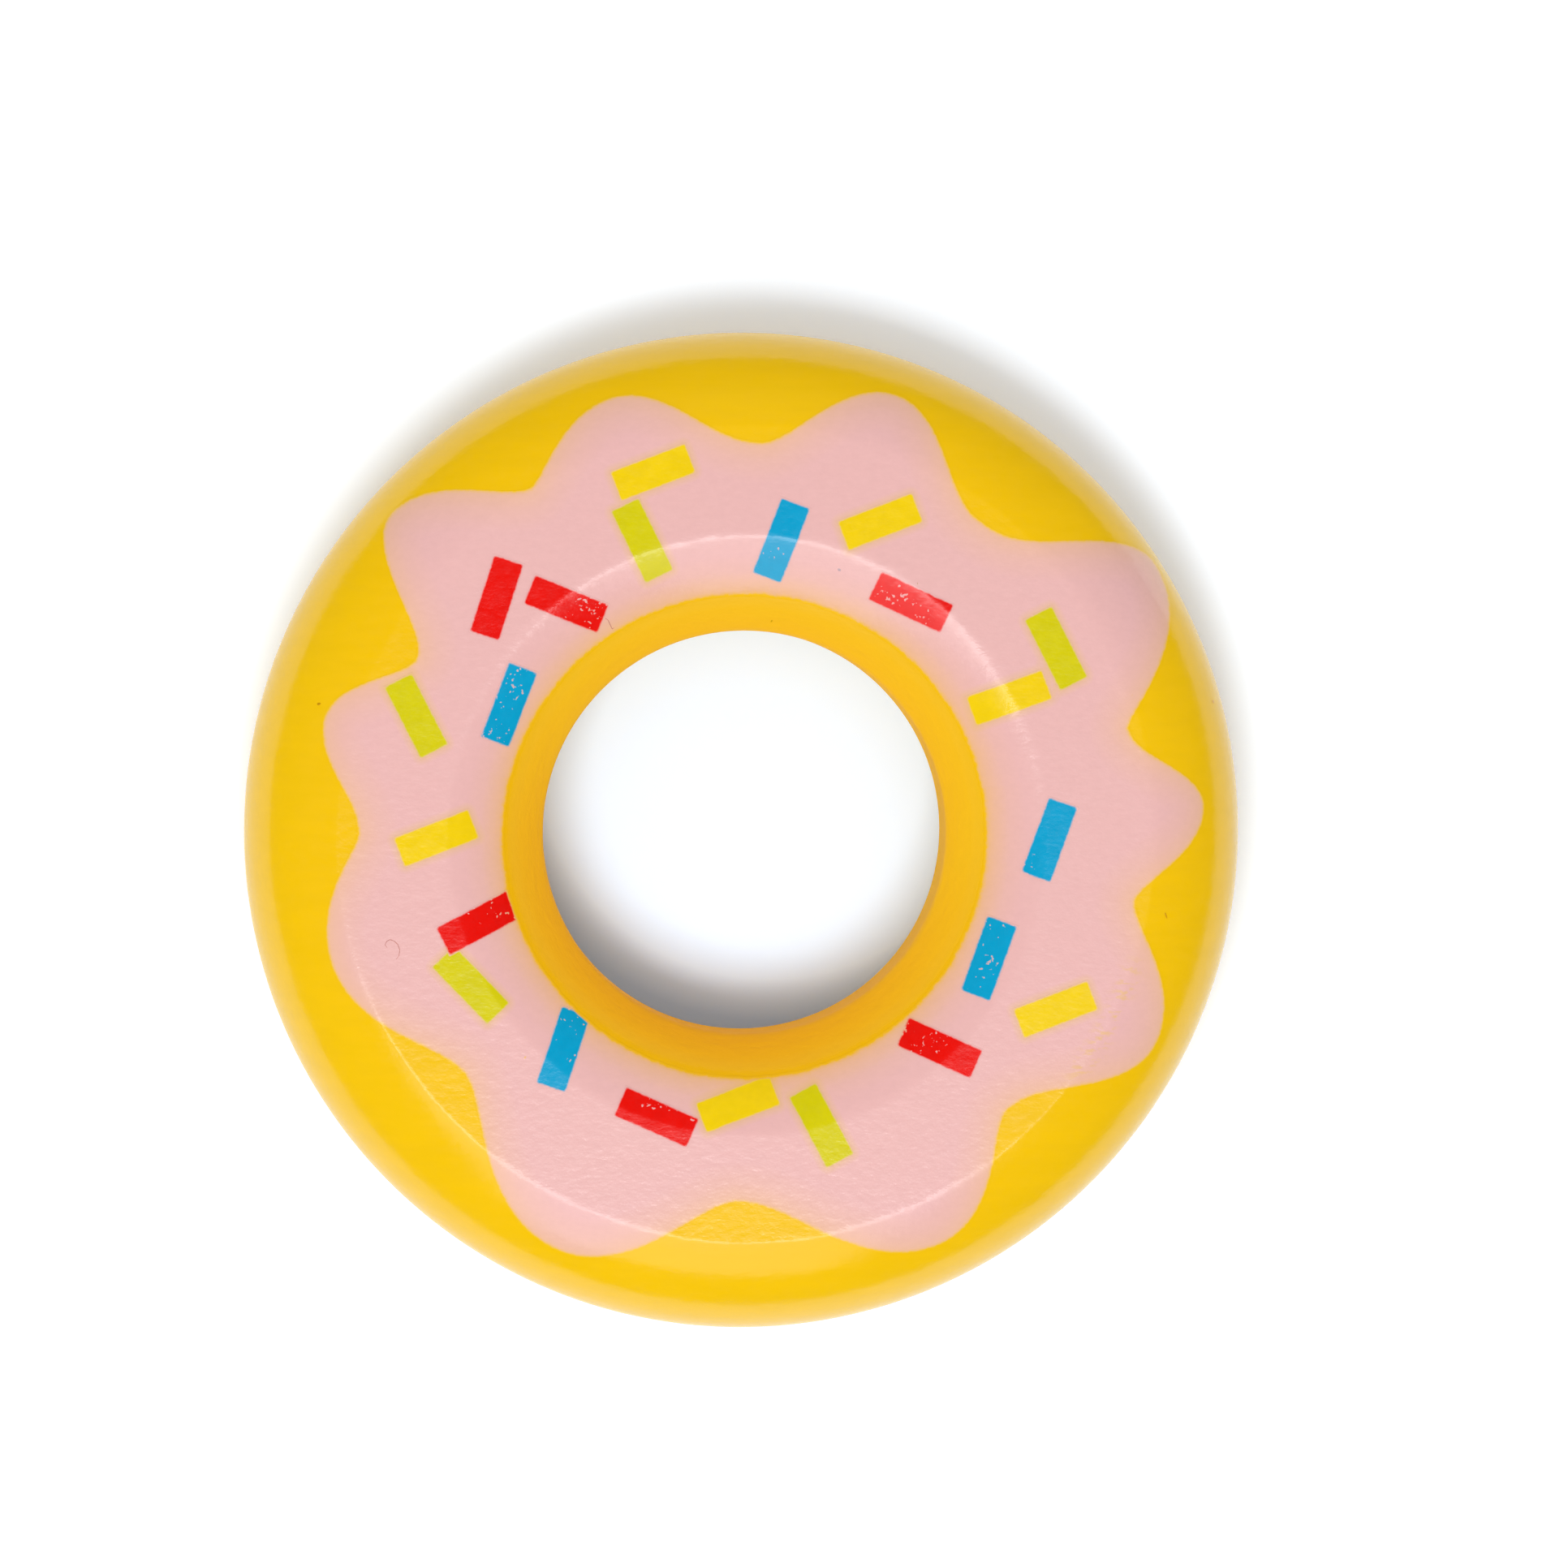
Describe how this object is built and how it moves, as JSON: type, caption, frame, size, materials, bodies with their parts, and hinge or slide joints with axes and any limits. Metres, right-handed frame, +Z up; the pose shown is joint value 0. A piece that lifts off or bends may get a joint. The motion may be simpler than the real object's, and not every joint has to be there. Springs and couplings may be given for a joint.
{
  "type": "toy doughnut",
  "caption": "Toy doughnut for pretend cooking: a lacquered wooden ring with flat pink icing and coloured sprinkles printed on its top.",
  "frame": {"origin": "centre of the flat underside, on the hole's axis", "axes": "+Z up along the hole's axis, out of the iced side; +X and +Y are the picture's right and top"},
  "size_m": [0.065, 0.065, 0.0133],
  "materials": {
    "lacquer_yellow": "glossy yellow lacquer on turned wood",
    "icing_pink": "pink printing ink under clear lacquer",
    "sprinkle_red": "red printing ink under clear lacquer",
    "sprinkle_blue": "blue printing ink under clear lacquer",
    "sprinkle_green": "lime green printing ink under clear lacquer",
    "sprinkle_yellow": "yellow printing ink under clear lacquer"
  },
  "bodies": {
    "root": {"ring": "lacquer_yellow", "icing": "icing_pink"}
  },
  "joints": []
}
